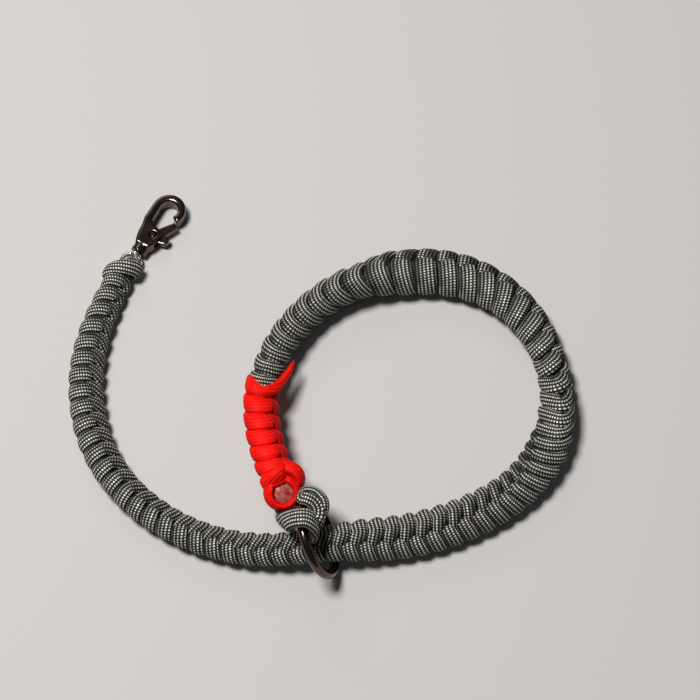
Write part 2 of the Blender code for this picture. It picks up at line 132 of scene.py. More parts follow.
# Share of the length, and how far a knot's cords fall back over its top, per height, and run ahead on its
# right, per width
KNOT_LEAN = (
    (0.00, 0.30, 0.35),
    (0.04, 0.50, 0.62),
    (0.066, 0.15, 0.35),
    (0.10, 0.00, 0.05),
    (0.15, 0.00, 0.18),
    (0.20, 0.02, 0.20),
    (0.25, 0.10, 0.42),
    (0.33, 0.35, 0.15),
    (0.40, 0.45, 0.14),
    (0.46, 0.30, 0.12),
    (0.50, 0.45, 0.18),
    (0.54, 0.75, 0.35),
    (0.57, 1.05, 0.68),
    (0.60, 1.05, 0.80),
    (0.63, 0.66, 0.66),
    (0.66, 0.22, 0.56),
    (0.70, 0.00, 0.58),
    (0.72, 0.00, 0.42),
    (0.75, -0.20, 0.02),
    (0.77, -0.60, -0.15),
    (0.80, -0.85, -0.42),
    (0.84, -1.05, -0.55),
    (0.87, -1.05, -0.45),
    (0.90, -1.00, -0.20),
    (0.94, -0.85, -0.15),
    (0.97, -0.70, -0.10),
    (1.00, -0.35, 0.00),
)

# Share of the length, and how much further back the left side's arcs stand there, in knot pitches
KNOT_LAG = (
    (0.00, 0.40),
    (0.12, 0.40),
    (0.19, 0.10),
    (0.24, 0.10),
    (0.30, 0.32),
    (0.37, 0.45),
    (0.47, 0.45),
    (0.54, 0.10),
    (1.00, 0.10),
)

# Share of the length, and how far the two spines are turned round the section there, in degrees
KNOT_TWIST = (
    (0.00, 0),
    (0.525, 0),
    (0.560, -24),
    (0.585, -50),
    (0.605, -56),
    (0.635, -22),
    (0.670, -4),
    (0.720, 0),
    (1.00, 0),
)

# A cord's section: its size, how square it is and how much of its box it fills. Then its sheath's rows and
# picks, and how far each row's picks are shifted from the last row's
CORD_DEPTH = 2.55 * MM
CORD_AREA = 11.4 * MM * MM
CORD_SQUARENESS = 2.4
CORD_FILL = 0.88
CORD_SIDES = 12
ROW_PITCH = 1.12 * MM
PICK_PITCH = 0.80 * MM
ROW_SLIP = 0.12

# The arcs of the two sides. Those on the right lie over both spines, and those on the left come out from
# under them. In degrees from the spine: how far each arc reaches past it, then from where it sinks in, over
# what angle and by what share of the cord, then from where it narrows, over what angle and by what share
RIGHT_ARC = {"reach": 34, "sink": (6, 26, 1.0), "narrow": (-8, 34, 0.28)}
LEFT_ARC = {"reach": 8, "sink": (-50, 56, 0.9), "narrow": (-50, 55, 0.45)}
ARC_STEPS = 23
ARC_OVERLAP = 1.07
NARROWEST, WIDEST = 0.25, 0.65
DEEPEST = 0.66
RED_NARROWING = 0.3

# How far a left arc's two ends slant along the strap, in knot pitches, and over what angle from the spine
FIRST_SLANT = 0.65
SECOND_SLANT = 0.35
SLANT_REACH = 75

# The cords of a side roll so that they lie on each other like tiles, the left side's first stretch most. From
# the bias's start on, nearly the whole cord rolls one way
TILE_ROLL = math.radians(9)
LEFT_TILE_ROLL = math.radians(20)
LEFT_ROLL_END = 0.52
TILE_BIAS = 0.8
BIAS_START, BIAS_SPAN = 0.74, 0.06

# The finish tells the sides and the plain cords by the row that their maps start from, and each arc's middle
# by its pick. An arc's painted shade grows from its middle to its full strength so many picks off it, and the
# painted shade in the crease beside a cord starts so many rows off its top
RIGHT_ROW, LEFT_ROW, PLAIN_ROW = 0, 100, 200
ARC_PICKS = 64
PICK_SHIFT = 0.37
PAINTED_SHADE_PICKS = 6
CREASE_ROWS = 1.9

# The dark inside, a sheet that paints the shade between the cords: how deep it lies, how far it stops short
# of the cords and how many steps it has, the last two for the strap's whole length
CORE_INSET = 0.7 * CORD_DEPTH
CORE_SETBACK = 0.002
CORE_STEPS = 260

# The first knot's turn of cord, and the gap to the first arc
FIRST_KNOT_SHIFT = 2.5 * MM
FIRST_KNOT_SLANT = -1.9 * MM
FIRST_KNOT_HALF_WIDTH = 2.35 * MM
FIRST_GAP = 2.05 * MM

# Where the red knots end, as a share of the length, and how far they run back over the grey
KNOTS_END = 1.0046
RED_LAP = 1.2 * MM

# The red cord's first bar, which tapers back along the inside of the grey: share of the length, degrees up
# from the strap's left, and height over the skin, half width and half depth as shares of the cord's depth
RED_LEAD = (
    (0.920, 158, -0.42, 0.80, 0.48),
    (0.9245, 132, -0.38, 0.88, 0.49),
    (0.928, 104, -0.32, 0.88, 0.49),
    (0.929, 76, -0.27, 0.82, 0.49),
    (0.926, 44, -0.08, 0.70, 0.47),
    (0.918, 22, 0.24, 0.58, 0.44),
    (0.906, 12, 0.55, 0.46, 0.38),
    (0.898, 11, 0.66, 0.30, 0.28),
    (0.891, 12, 0.66, 0.08, 0.08),
)
LEAD_STEPS = 44

# The tie's cord: along the ring's own axis, across it and up in its plane, as shares of the ring's radius
TIE_ROUTE = (
    (-1.02, 1.08, -0.06),
    (-0.94, 0.84, 0.02),
    (-0.83, 0.60, 0.30),
    (-0.60, 0.42, 0.71),
    (-0.34, 0.27, 1.10),
    (0.00, 0.17, 1.33),
    (0.25, 0.12, 1.28),
    (0.33, 0.03, 1.08),
    (0.28, -0.07, 0.85),
    (0.12, -0.09, 0.64),
    (-0.02, 0.04, 0.50),
    (-0.16, 0.28, 0.42),
    (-0.26, 0.54, 0.28),
    (-0.32, 0.80, 0.08),
    (-0.34, 1.05, 0.00),
    (-0.32, 1.22, 0.06),
    (-0.22, 1.28, 0.20),
    (0.02, 1.23, 0.35),
    (0.23, 1.10, 0.45),
    (0.38, 0.94, 0.50),
    (0.46, 0.76, 0.50),
    (0.44, 0.58, 0.50),
    (0.33, 0.44, 0.48),
    (0.21, 0.29, 0.42),
    (0.06, 0.18, 0.35),
)
TIE_STEPS = 150
TIE_SIDES = 20
TIE_AREA = 12.5 * MM * MM
TIE_HALF_WIDTH = 2.9 * MM
TIE_NARROWING = 0.32
TIE_NARROW_START, TIE_NARROW_SPAN = 0.36, 0.1

# Its second wrap, beside the first, and the way its flat side faces
WRAP_ROUTE = (
    (-0.04, 1.14, 0.40),
    (0.00, 1.02, 0.68),
    (0.07, 0.88, 0.86),
    (0.21, 0.80, 0.90),
    (0.33, 0.70, 0.78),
    (0.38, 0.55, 0.66),
    (0.35, 0.40, 0.60),
    (0.27, 0.27, 0.60),
    (0.20, 0.16, 0.64),
)
WRAP_STEPS = 60
WRAP_SIDES = 16
WRAP_FACE = (0.30, 0.05, 0.95)
WRAP_HALVES = (1.95 * MM, 1.1 * MM)

# The red tip's last turn. Its middle is shifted from the tip's, and its ends run in, by these lengths across,
# ahead and up. It sweeps so many degrees each way from straight ahead
RIM_RADIUS = 4.05 * MM
RIM_SHIFT = (-0.5 * MM, -1.2 * MM, 0)
RIM_SWEEP = 132
RIM_END = (1.0 * MM, -3.5 * MM, -1.6 * MM)
RIM_UP = 0.35
RIM_HALVES = (2.1 * MM, 1.05 * MM)

# The last red bar, over the turn's left end: across, ahead and up from the turn's middle, as shares of its
# radius, and the point that it faces away from
LAST_BAR = (
    (-0.45, -0.38, -1.10),
    (-0.64, -0.50, -0.70),
    (-0.70, -0.68, -0.28),
    (-0.50, -0.98, 0.12),
    (-0.04, -1.28, 0.36),
    (0.42, -1.44, 0.16),
    (0.68, -1.46, -0.38),
)
LAST_BAR_INSIDE = (0, -1.5, -0.6)
LAST_BAR_HALVES = (2.15 * MM, 1.2 * MM)

# The red knuckle beside it, in the same way, and how far it faces up
KNUCKLE = (
    (0.20, -1.60, -0.85),
    (0.60, -1.62, -0.40),
    (1.02, -1.46, -0.12),
    (1.36, -1.08, -0.04),
    (1.45, -0.55, -0.10),
    (1.22, -0.08, -0.28),
    (0.80, 0.18, -0.50),
)
KNUCKLE_INSIDE = (0.55, -0.75, 0)
KNUCKLE_UP = 0.9
KNUCKLE_HALVES = (2.3 * MM, 1.4 * MM)
BAR_STEPS = 40

# The melted end: its shift in the same directions, and its half sizes across, along and through it
MELT_SHIFT = (-0.4 * MM, -1.6 * MM, 0)
MELT_HALVES = (3.4 * MM, 3.9 * MM, 1.3 * MM)

# The cords' finishes: dark ground, light picks, a pick's length and width as shares of its cell, the weave's
# height, how dark the painted shade in the creases and on the arcs' sunk edges gets, and how much the picks
# shine. The cores' finishes are dark copies that paint the shade between the cords
CORD_LOOKS = {
    "grey_cord": ((0.019, 0.019, 0.014), (0.64, 0.63, 0.56), 0.64, 0.50, 0.12 * MM, 0.85, 0.90),
    "red_cord": ((0.57, 0.002, 0.0005), (1.0, 0.006, 0.001), 0.78, 0.70, 0.10 * MM, 0.50, 0.02),
    "grey_painted_shade_core": ((0.012, 0.012, 0.010), (0.05, 0.05, 0.045), 0.70, 0.50, 0.10 * MM, 0.50, 0.10),
    "red_painted_shade_core": ((0.10, 0.003, 0.002), (0.18, 0.006, 0.004), 0.80, 0.70, 0.10 * MM, 0.50, 0.10),
}

# Photograph's camera: distance to the look-at point on the floor, elevation and heading, and its lens
VIEW_DISTANCE = 705 * MM
VIEW_ELEVATION = math.radians(64)
VIEW_TURN = math.radians(33)
VIEW_TARGET = (66.2 * MM, -26.1 * MM)
FOCAL_PIXELS = 2409
FRAME_PIXELS = 700
SENSOR_WIDTH = 36


def column(table, index, share):
    """One column of a table at these shares, on a smooth curve through its rows."""
    at = np.array([row[0] for row in table])
    value = np.array([row[index] for row in table], float)
    slope = np.gradient(value, at)
    share = np.clip(share, at[0], at[-1])
    i = np.clip(np.searchsorted(at, share) - 1, 0, len(at) - 2)
    step = at[i + 1] - at[i]
    t = (share - at[i]) / step
    start = value[i] * (1 + 2 * t) * (1 - t) ** 2 + slope[i] * step * t * (1 - t) ** 2
    end = value[i + 1] * t**2 * (3 - 2 * t) + slope[i + 1] * step * t**2 * (t - 1)
    return start + end


def smooth_route(points, count):
    """A smooth curve through rows of numbers, in steps of equal rows."""
    table = [(k, *point) for k, point in enumerate(points)]
    at = np.linspace(0, len(points) - 1, count)
    return np.stack([column(table, axis, at) for axis in range(1, len(table[0]))], 1)


def ease(t):
    """A soft step from 0 to 1."""
    t = np.clip(t, 0, 1)
    return t * t * (3 - 2 * t)


def unit(vectors):
    return vectors / np.linalg.norm(vectors, axis=-1, keepdims=True)


# The strap's centreline and sections


def section_sizes(share, table):
    """Half width, half depth and turn of the strap's sections."""
    half_side = column(table, 1, share) * STRAP_SIDE / 2
    half_spine = column(table, 2, share) * STRAP_SPINE / 2
    return half_side, half_spine, np.radians(column(table, 4, share))


def strap_centreline():
    """The centreline's shares and points, from the middle of the first knot to the red tip."""
    share = np.linspace(0, 1, ROUTE_STEPS + 1)
    heading = np.radians(column(ROUTE, 1, share))
    step = STRAP_LENGTH / ROUTE_STEPS
    middle = (heading[1:] + heading[:-1]) / 2
    swivel = next(j for j in frame["joints"] if j["name"] == "clasp_swivel")["pos_m"]
    x = swivel[0] + np.concatenate([[0], np.cumsum(np.cos(middle) * step)])
    y = swivel[1] - EYE_REACH + np.concatenate([[0], np.cumsum(np.sin(middle) * step)])
    half_side, half_spine, turn = section_sizes(share, GREY_SECTIONS)
    resting = np.hypot(half_spine * np.sin(turn), half_side * np.cos(turn))
    from_ring = np.abs(share - RING_SHARE) * STRAP_LENGTH / RING_LIFT_REACH
    lift = (RING_WIRE + CLEARANCE) * (1 - ease(from_ring))
    rise = TIP_RISE * ease((share - 1 + TIP_RISE_SHARE) / TIP_RISE_SHARE)
    return share, np.stack([x, y, resting + lift + rise], 1)


SHARES, CENTRELINE = strap_centreline()


def stations(share):
    """Points of the centreline at these shares, with their forward, left and upward directions."""
    share = np.atleast_1d(np.asarray(share, float))
    inside = np.clip(share, 0, 1)
    at = np.stack([np.interp(inside, SHARES, CENTRELINE[:, k]) for k in range(3)], 1)
    heading = np.radians(column(ROUTE, 1, inside))
    near = 1 / ROUTE_STEPS
    after, before = (np.interp(inside + off, SHARES, CENTRELINE[:, 2]) for off in (near, -near))
    climb = (after - before) / (2 * near * STRAP_LENGTH)
    forward = unit(np.stack([np.cos(heading), np.sin(heading), climb], 1))
    left = np.stack([-np.sin(heading), np.cos(heading), np.zeros_like(heading)], 1)
    at = at + forward * ((share - inside) * STRAP_LENGTH)[:, None]
    return at, forward, left, np.cross(forward, left)


def sections(share, table):
    """The sections' middles, the ways from there to the first spine and the flank, and their half sizes."""
    at, _, left, up = stations(share)
    half_side, half_spine, turn = section_sizes(share, table)
    cos, sin = np.cos(turn)[:, None], np.sin(turn)[:, None]
    return at, left * cos + up * sin, up * cos - left * sin, half_spine, half_side


def round_sections(share, table, angle, inset=0.0):
    """The sections' middles, the ways from there to a line at these angles from the spine and this deep
    inside the strap's skin, and the ways out of the skin there."""
    at, spine, flank, half_spine, half_side = sections(share, table)
    cos, sin = np.cos(angle), np.sin(angle)
    reach = spine * ((half_spine - inset) * cos)[:, None] + flank * ((half_side - inset) * sin)[:, None]
    outward = spine * (cos / half_spine)[:, None] + flank * (sin / half_side)[:, None]
    return at, reach, unit(outward)


def knot_places(start, end, table):
    """Shares of the half pitches between two places."""
    shares = [start]
    while shares[-1] < end:
        shares.append(shares[-1] + KNOT_PITCH * float(column(table, 3, shares[-1])) / 2 / STRAP_LENGTH)
    spread = (end - start) / (shares[-1] - start)
    return [start + (share - start) * spread for share in shares]


# Cords: a grid of faces is laid round each path, and its seam is closed afterwards


def cord_skin(steps, sides):
    """A flat grid with one column of faces for each step along a cord and one row for each side."""
    bm = bmesh.new()
    bmesh.ops.create_grid(bm, x_segments=steps - 1, y_segments=sides, size=0.5)
    mesh = bpy.data.meshes.new("skin")
    bm.to_mesh(mesh)
    bm.free()
    mesh.uv_layers.new(name="along_around")
    place = np.empty(len(mesh.vertices) * 3)
    mesh.vertices.foreach_get("co", place)
    place = place.reshape(-1, 3) + 0.5
    along = np.rint(place[:, 0] * (steps - 1)).astype(int)
    around = np.rint(place[:, 1] * sides).astype(int)
    corner = np.empty(len(mesh.loops), np.int32)
    mesh.loops.foreach_get("vertex_index", corner)
    return mesh, along, around, corner


def lay_cord(
    bm, path, outward, half_width, half_depth,
    roll=0.0, first_pick=0.0, first_row=PLAIN_ROW, squareness=CORD_SQUARENESS, sides=CORD_SIDES,
):
    """Lays one cord along a path, rolled by these angles. Its map counts picks along it, from its middle, and
    rows across it, from its top."""
    half_width, half_depth, roll = (
        np.broadcast_to(value, len(path))[:, None] for value in (half_width, half_depth, roll)
    )
    tangent = unit(np.gradient(path, axis=0))
    level = unit(np.cross(tangent, outward))
    high = np.cross(level, tangent)
    across = level * np.cos(roll) - high * np.sin(roll)
    normal = high * np.cos(roll) + level * np.sin(roll)
    angle = 2 * np.pi * np.arange(sides + 1) / sides - np.pi / 2
    angle[-1] = angle[0]
    flat = 2 / squareness
    x = np.sign(np.cos(angle)) * np.abs(np.cos(angle)) ** flat
    y = np.sign(np.sin(angle)) * np.abs(np.sin(angle)) ** flat
    x[0] = x[-1] = 0
    section = path[:, None] + across[:, None] * (half_width * x)[..., None]
    section = section + normal[:, None] * (half_depth * y)[..., None]
    top = sides // 2
    girth = np.cumsum(np.linalg.norm(np.diff(section, axis=1, prepend=section[:, :1]), axis=2), axis=1)
    length = np.cumsum(np.linalg.norm(np.diff(section[:, top], axis=0, prepend=section[:1, top]), axis=1))
    mesh, along, around, corner = cord_skin(len(path), sides)
    mesh.vertices.foreach_set("co", section[along, around].astype(np.float32).ravel())
    u = (length[along] - length[-1] / 2) / PICK_PITCH + first_pick
    v = (girth[along, around] - girth[along, top]) / ROW_PITCH + 0.5 + first_row
    mesh.uv_layers[0].uv.foreach_set("vector", np.stack([u, v], 1)[corner].astype(np.float32).ravel())
    bm.from_mesh(mesh)
    bpy.data.meshes.remove(mesh)


def depth_for(area, half_width):
    """Half depth that gives a cord of this half width its area."""
    return area / (4 * half_width * CORD_FILL)


def put(name, data):
    """A new object in the scene."""
    obj = bpy.data.objects.new(name, data)
    bpy.context.scene.collection.objects.link(obj)
    return obj


def piece_from(bm, name, finish, body, nodes):
    """A finished piece that rides on its body and stands for these solids."""
    mesh = bpy.data.meshes.new(name)
    bm.to_mesh(mesh)
    bm.free()
    mesh.shade_smooth()
    mesh.materials.append(finish)
    obj = put(name, mesh)
    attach(obj, body)
    if nodes:
        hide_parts(*nodes)
    return obj


def finish_cords(bm, name, finish, nodes):
    """Closes the cords' seams and ends and makes them one piece of the strap."""
    bmesh.ops.remove_doubles(bm, verts=bm.verts[:], dist=1e-7)
    bmesh.ops.holes_fill(bm, edges=[e for e in bm.edges if e.is_boundary], sides=0)
    bmesh.ops.recalc_face_normals(bm, faces=bm.faces[:])
    piece_from(bm, name, finish, "strap", nodes)


# Knots


def grown(beyond, start, span, most):
    """A value that eases in from an angle past the spine, over a span of angles, to its most."""
    return most * ease((beyond - start) / span)


def arc_path(centre, side, pitch, table):
    """One cord's way round one side of the strap, from the first spine to the second, with the ways out
    there, its angles past the spines and how near it is to them, from 1 at the first to -1 at the second."""
    form = RIGHT_ARC if side > 0 else LEFT_ARC
    degrees = np.linspace(-form["reach"], 180 + form["reach"], ARC_STEPS)
    beyond = np.abs(degrees - 90) - 90
    angle = np.radians(degrees)
    inset = CORD_DEPTH * (0.5 + grown(beyond, *form["sink"]))
    slant = np.zeros(ARC_STEPS)
    if side < 0:
        slant = SECOND_SLANT * ease(1 - (180 - degrees) / SLANT_REACH)
        slant = slant - FIRST_SLANT * ease(1 - degrees / SLANT_REACH)

    def lay(share):
        turned = angle * side + np.radians(column(KNOT_TWIST, 1, share))
        return round_sections(share, table, turned, inset)

    share = centre + slant * pitch / STRAP_LENGTH
    _, reach, _ = lay(share)
    _, _, left, up = stations(share)
    back = column(KNOT_LEAN, 1, share) * np.sum(reach * up, 1)
    ahead = column(KNOT_LEAN, 2, share) * np.sum(reach * left, 1)
    at, reach, outward = lay(share - (back + ahead) / STRAP_LENGTH)
    return at + reach, outward, beyond, np.cos(angle)


def knotted_cords(bm, start, end, table, narrowing=1.0):
    """Every cord arc of one knotted stretch, each as wide as its place beside the next one lets it be."""
    for k, share in enumerate(knot_places(start, end, table)[1:-1]):
        side, form, first_row = (-1, LEFT_ARC, LEFT_ROW) if k % 2 else (1, RIGHT_ARC, RIGHT_ROW)
        pitch = KNOT_PITCH * float(column(table, 3, share))
        lag = float(column(KNOT_LAG, 1, share)) if side < 0 else 0
        centre = share - lag * pitch / STRAP_LENGTH
        path, outward, beyond, tiled = arc_path(centre, side, pitch, table)
        neighbour = arc_path(centre + pitch / 2 / STRAP_LENGTH, side, pitch, table)[0]
        level = unit(np.cross(np.gradient(path, axis=0), outward))
        spacing = np.abs(np.sum((neighbour - path) * level, 1))
        half_width = ARC_OVERLAP * np.clip(spacing, NARROWEST * pitch, WIDEST * pitch)
        half_width = half_width * (1 - narrowing * grown(beyond, *form["narrow"]))
        half_depth = np.clip(depth_for(CORD_AREA, half_width), CORD_DEPTH / 2, CORD_DEPTH * DEEPEST)
        bias = TILE_BIAS * ease((centre - BIAS_START) / BIAS_SPAN) * side
        most = LEFT_TILE_ROLL if side < 0 and centre < LEFT_ROLL_END else TILE_ROLL
        roll = most * np.clip(tiled - bias, -1, 1)
        # The first pick marks each arc's middle for the painted shade, and moves that shade with the roll's
        # bias
        first_pick = ARC_PICKS * (k + 0.5) + k * PICK_SHIFT % 1 + PAINTED_SHADE_PICKS * bias
        lay_cord(bm, path, outward, half_width, half_depth, roll, first_pick, first_row)


def knot_core(start, end, table, name, finish):
    """A dark sheet inside the knots that paints the shade showing between the cords."""
    share = np.linspace(start, end, int((end - start) * CORE_STEPS))
    at, spine, _, half_spine, half_side = sections(share, table)
    bm = bmesh.new()
    lay_cord(bm, at, spine, half_side - CORE_INSET, half_spine - CORE_INSET, squareness=2.0)
    finish_cords(bm, name, finish, [])


# Finishes


def node(tree, kind, **values):
    made = tree.nodes.new(kind)
    for key, value in values.items():
        setattr(made, key, value)
    return made


def feed(tree, socket, value):
    """Gives a socket a number, a colour or another socket's value."""
    if isinstance(value, (int, float)):
        socket.default_value = value
    elif isinstance(value, tuple):
        socket.default_value = (*value, 1.0)
    else:
        tree.links.new(value, socket)


def calc(tree, operation, *values, clamp=False):
    """One Math node on sockets or numbers."""
    made = node(tree, "ShaderNodeMath", operation=operation, use_clamp=clamp)
    for socket, value in zip(made.inputs, values):
        feed(tree, socket, value)
    return made.outputs[0]


def mix_colour(tree, factor, first, second):
    made = node(tree, "ShaderNodeMix", data_type="RGBA")
    for socket, value in zip((made.inputs[0], made.inputs[6], made.inputs[7]), (factor, first, second)):
        feed(tree, socket, value)
    return made.outputs[2]


def shaded(colour, factor):
    return tuple(min(c * factor, 1.0) for c in colour)


def braid_group():
    """Braided sheath: rows of picks along the cord, as a mask of the light picks, the weave's height, a
    random tone for each pick and a mask of painted shade for the creases and the arcs' sunk edges."""
    group = bpy.data.node_groups.new("braided_sheath", "ShaderNodeTree")
    for name, value in (("Pick Length", 0.62), ("Pick Width", 0.48)):
        socket = group.interface.new_socket(name, in_out="INPUT", socket_type="NodeSocketFloat")
        socket.default_value = value
    for name in ("Pick", "Height", "Shade", "Painted Shade"):
        group.interface.new_socket(name, in_out="OUTPUT", socket_type="NodeSocketFloat")
    sizes = node(group, "NodeGroupInput").outputs
    results = node(group, "NodeGroupOutput").inputs
    uv = node(group, "ShaderNodeUVMap", uv_map="along_around")
    split = node(group, "ShaderNodeSeparateXYZ")
    group.links.new(uv.outputs[0], split.inputs[0])
    picks, rows = split.outputs[0], split.outputs[1]
    do = partial(calc, group)

    # A pick is a bar with rounded ends in the middle of its cell
    row = do("FLOOR", rows)
    along = do("ADD", picks, do("MULTIPLY", row, ROW_SLIP))
    off_pick = do("ABSOLUTE", do("SUBTRACT", do("FRACT", along), 0.5))
    off_row = do("ABSOLUTE", do("SUBTRACT", do("FRACT", rows), 0.5))
    long_part = do("POWER", do("DIVIDE", off_pick, do("MULTIPLY", sizes["Pick Length"], 0.5)), 3.0)
    wide_part = do("POWER", do("DIVIDE", off_row, do("MULTIPLY", sizes["Pick Width"], 0.5)), 2.4)
    pick = do("SUBTRACT", 1.25, do("ADD", long_part, wide_part), clamp=True)
    # The weave rises on its picks and along the middle of each row
    valley = do("SUBTRACT", 1.0, do("MULTIPLY", do("POWER", off_row, 2.0), 3.2))
    height = do("ADD", do("MULTIPLY", pick, 0.55), do("MULTIPLY", valley, 0.45))
    # Each cell has a shade of its own
    cell = node(group, "ShaderNodeCombineXYZ")
    group.links.new(do("FLOOR", along), cell.inputs[0])
    group.links.new(row, cell.inputs[1])
    chance = node(group, "ShaderNodeTexWhiteNoise", noise_dimensions="2D")
    group.links.new(cell.outputs[0], chance.inputs["Vector"])

    group.links.new(pick, results["Pick"])
    group.links.new(height, results["Height"])
    group.links.new(chance.outputs["Value"], results["Shade"])
    group.links.new(painted_shade_mask(do, picks, rows), results["Painted Shade"])
    return group


def painted_shade_mask(do, picks, rows):
    """Painted shade on an arc's edge under its neighbour, towards the spines, and on each cord's flanks into
    the crease.
    """
    # The side is 0 on the right, 1 on the left and 2 on a plain cord
    side = do("FLOOR", do("MULTIPLY_ADD", rows, 1 / LEFT_ROW, 0.5))
    across = do("SUBTRACT", do("MULTIPLY_ADD", side, -LEFT_ROW, rows), 0.5)
    from_middle = do("SUBTRACT", do("MODULO", picks, ARC_PICKS), ARC_PICKS / 2)
    tiled = do("MAXIMUM", do("MINIMUM", do("DIVIDE", from_middle, PAINTED_SHADE_PICKS), 1), -1)
    # The left side's arcs, which sink further under, get more painted shade than the right's
    slope = do("MULTIPLY_ADD", side, 0.28, 0.32)
    shade = do("MULTIPLY_ADD", side, 0.5, 0.3)
    # Painted shade across each arc, darker towards its sunk edge and stronger towards the spines; plain cords
    # get none
    painted_tuck_ramp = do("MULTIPLY_ADD", do("MULTIPLY", tiled, across), slope, shade, clamp=True)
    is_arc = do("LESS_THAN", side, 1.5)
    painted_tuck_shade = do("MULTIPLY", do("MULTIPLY", painted_tuck_ramp, do("ABSOLUTE", tiled)), is_arc)
    # Painted shade on every cord's flanks, from so many rows off its top down into the crease beside it
    flank = do("SUBTRACT", do("ABSOLUTE", across), CREASE_ROWS, clamp=True)
    return do("MULTIPLY_ADD", flank, 0.7, painted_tuck_shade, clamp=True)


def new_finish(name):
    """A new material, its node tree and its shader."""
    made = bpy.data.materials.new(name)
    made.use_nodes = True
    return made, made.node_tree, made.node_tree.nodes["Principled BSDF"]


def mottle(tree, scale, detail):
    """Noise that is fixed to the piece."""
    place = node(tree, "ShaderNodeTexCoord")
    noise = node(tree, "ShaderNodeTexNoise")
    noise.inputs["Scale"].default_value = scale
    noise.inputs["Detail"].default_value = detail
    tree.links.new(place.outputs["Object"], noise.inputs["Vector"])
    return noise.outputs[0]


def raise_surface(tree, shader, height, strength, distance):
    lift = node(tree, "ShaderNodeBump")
    lift.inputs["Strength"].default_value = strength
    lift.inputs["Distance"].default_value = distance
    tree.links.new(height, lift.inputs["Height"])
    tree.links.new(lift.outputs[0], shader.inputs["Normal"])


def cord_finish(name, braid, dark, light, pick_length, pick_width, weave, painted_shade_strength, gloss):
    """Nylon cord of a dark ground with lighter picks in rows, darkened and dulled by painted shade in its
    creases and on the arcs' sunk edges.
    """
    made, tree, shader = new_finish(name)
    cloth = node(tree, "ShaderNodeGroup", node_tree=braid)
    cloth.inputs["Pick Length"].default_value = pick_length
    cloth.inputs["Pick Width"].default_value = pick_width
    ground = mix_colour(tree, mottle(tree, 90, 3), shaded(dark, 0.7), shaded(dark, 1.3))
    worn = mix_colour(tree, cloth.outputs["Shade"], shaded(light, 0.72), shaded(light, 1.12))
    fresh = mix_colour(tree, cloth.outputs["Pick"], ground, worn)
    # Painted shade: the creases and sunk arc edges are mixed towards a dark copy of the ground and lose their
    # coat
    crease = calc(tree, "MULTIPLY", cloth.outputs["Painted Shade"], painted_shade_strength)
    colour = mix_colour(tree, crease, fresh, shaded(dark, 0.25))
    shine = calc(tree, "MULTIPLY", calc(tree, "SUBTRACT", cloth.outputs["Pick"], crease, clamp=True), gloss)
    tree.links.new(colour, shader.inputs["Base Color"])
    tree.links.new(shine, shader.inputs["Coat Weight"])
    raise_surface(tree, shader, cloth.outputs["Height"], 0.9, weave)
    shader.inputs["Roughness"].default_value = 0.62
    shader.inputs["Specular IOR Level"].default_value = 0.12
    shader.inputs["Coat Roughness"].default_value = 0.38
    return made


def metal_finish(name, colour, roughness, grain):
    """Polished plating with fine handling marks."""
    made, tree, shader = new_finish(name)
    marks = mottle(tree, grain, 4)
    tint = mix_colour(tree, marks, shaded(colour, 0.8), shaded(colour, 1.2))
    tree.links.new(tint, shader.inputs["Base Color"])
    rough = node(tree, "ShaderNodeMapRange")
    rough.inputs["To Min"].default_value = roughness * 0.7
    rough.inputs["To Max"].default_value = roughness * 1.5
    tree.links.new(marks, rough.inputs["Value"])
    tree.links.new(rough.outputs[0], shader.inputs["Roughness"])
    shader.inputs["Metallic"].default_value = 1.0
    return made


def melt_finish(name):
    """Nylon that a flame has melted: dull red to pinkish grey in blotches, uneven and a little glossy."""
    made, tree, shader = new_finish(name)
    blotches = mottle(tree, 700, 4)
    spread = calc(tree, "MULTIPLY_ADD", blotches, 3.2, -1.1, clamp=True)
    colour = mix_colour(tree, spread, (0.24, 0.006, 0.004), (0.44, 0.13, 0.11))
    tree.links.new(colour, shader.inputs["Base Color"])
    raise_surface(tree, shader, blotches, 0.7, 0.3 * MM)
    shader.inputs["Roughness"].default_value = 0.42
    return made


# Pieces


def strap_cords(finish, inside):
    """The grey knots, from the first knot to the red."""
    start = (KNOT_LENGTH / 2 + FIRST_GAP) / STRAP_LENGTH
    end = 1 - (RED_LENGTH - RED_LAP * 2) / STRAP_LENGTH
    bm = bmesh.new()
    knotted_cords(bm, start, end, GREY_SECTIONS)
    finish_cords(bm, "grey_knots", finish, ["strap_weave"])
    knot_core(start + CORE_SETBACK, end - CORE_SETBACK, GREY_SECTIONS, "grey_painted_shade_core", inside)


def red_cords(finish, inside):
    """The red knots, from the grey to the tip."""
    start = 1 - (RED_LENGTH + RED_LAP) / STRAP_LENGTH
    bm = bmesh.new()
    knotted_cords(bm, start, KNOTS_END, RED_SECTIONS, RED_NARROWING)
    red_lead(bm)
    finish_cords(bm, "red_knots", finish, ["red_weave"])
    knot_core(start + 2 * CORE_SETBACK, 1 - CORE_SETBACK, RED_SECTIONS, "red_painted_shade_core", inside)


def red_lead(bm):
    """The red cord's first bar, which narrows to its end on the grey."""
    share, turn, height, wide, deep = smooth_route(RED_LEAD, LEAD_STEPS).T
    angle = np.radians(turn) - section_sizes(share, RED_SECTIONS)[2]
    at, reach, outward = round_sections(share, RED_SECTIONS, angle)
    path = at + reach + outward * (height * CORD_DEPTH)[:, None]
    lay_cord(bm, path, outward, wide * CORD_DEPTH, deep * CORD_DEPTH)


def ring_frame():
    """Middle, axis, across and up of the sliding ring, and its radius."""
    at, _, left, _ = stations(RING_SHARE)
    heading = math.radians(float(column(ROUTE, 1, RING_SHARE)))
    level = np.array([math.cos(heading), math.sin(heading), 0])
    up = UP * math.cos(RING_LEAN) - level * math.sin(RING_LEAN)
    axis = level * math.cos(RING_LEAN) + UP * math.sin(RING_LEAN)
    radius = (RING_OUTER - RING_WIRE) / 2
    height = radius * math.cos(RING_LEAN) + RING_WIRE / 2
    centre = np.array([at[0][0], at[0][1], height]) + left[0] * RING_ACROSS
    return centre, axis, left[0], up, radius


